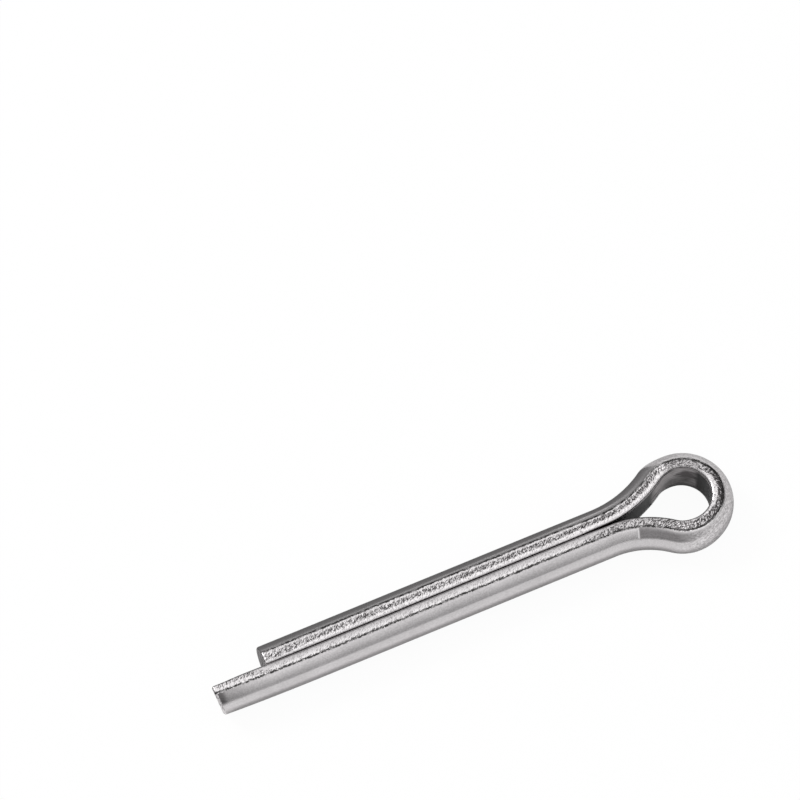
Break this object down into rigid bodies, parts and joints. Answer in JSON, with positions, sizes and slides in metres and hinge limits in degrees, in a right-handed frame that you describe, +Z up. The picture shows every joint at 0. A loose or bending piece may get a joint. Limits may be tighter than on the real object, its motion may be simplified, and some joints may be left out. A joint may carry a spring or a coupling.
{
  "type": "split pin",
  "caption": "Split pin bent from half-round steel wire: a round eye, curved necks and legs of unequal length that lie flat to flat as a round shank.",
  "frame": {"origin": "on the shank's axis, where the straight legs end and curve out into the eye", "axes": "+X along the shank from the legs towards the eye, +Y from the long leg to the short leg, +Z up, square to the eye's plane"},
  "size_m": [0.0389, 0.007, 0.0036],
  "materials": {
    "steel_wire": "bare drawn steel wire, satin on its rolled round side and grainy along its edges"
  },
  "bodies": {
    "root": {"split_pin": "steel_wire"}
  },
  "joints": []
}
